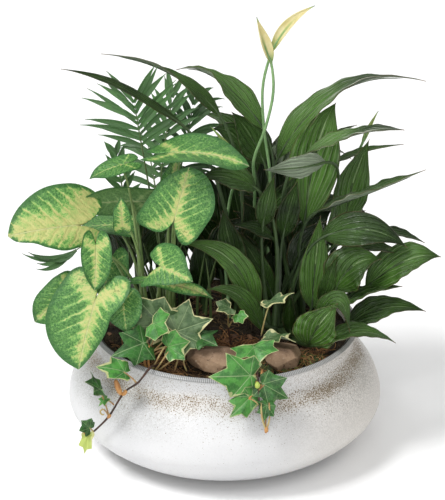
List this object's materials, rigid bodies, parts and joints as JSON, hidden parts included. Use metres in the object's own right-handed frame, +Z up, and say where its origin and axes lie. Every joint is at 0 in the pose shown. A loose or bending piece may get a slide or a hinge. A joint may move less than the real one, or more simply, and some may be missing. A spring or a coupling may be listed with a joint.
{
  "type": "mixed houseplant planter",
  "caption": "Low round glazed ceramic bowl of soil planted with peace lily, arrowhead vine, parlour palm and trailing ivy, with worn stones on the soil.",
  "frame": {"origin": "centre of the bowl's flat underside, on the bowl's axis", "axes": "+Z up along the bowl axis, +X to the right and -Y to the front, where the ivy hangs over the rim"},
  "size_m": [0.3783, 0.3018, 0.3957],
  "materials": {
    "glaze": "satin",
    "soil": "matte",
    "stone": "matte",
    "lily_leaf": "satin",
    "bloom_stalk": "satin",
    "spathe": "satin",
    "arrowhead_leaf": "satin",
    "palm_leaf": "satin",
    "ivy_leaf": "satin"
  },
  "bodies": {
    "root": {"bowl": "glaze", "soil": "soil", "stone_left": "stone", "stone_right": "stone", "lily_left": "lily_leaf", "lily_right": "lily_leaf", "lily_front": "lily_leaf", "lily_back": "lily_leaf", "bloom_left_stalk": "bloom_stalk", "bloom_left_spathe": "spathe", "bloom_right_stalk": "bloom_stalk", "bloom_right_spathe": "spathe", "bud_right_stalk": "bloom_stalk", "bud_right_spathe": "spathe", "bud_left_stalk": "bloom_stalk", "bud_left_spathe": "spathe", "arrowhead_left": "arrowhead_leaf", "arrowhead_middle": "arrowhead_leaf", "arrowhead_front": "arrowhead_leaf", "palm_frond_1": "palm_leaf", "palm_frond_2": "palm_leaf", "palm_frond_3": "palm_leaf", "palm_frond_4": "palm_leaf", "palm_frond_5": "palm_leaf", "palm_frond_6": "palm_leaf", "ivy_trail": "ivy_leaf", "ivy_left": "ivy_leaf", "ivy_front": "ivy_leaf", "ivy_middle": "ivy_leaf", "ivy_small": "ivy_leaf"}
  },
  "joints": []
}
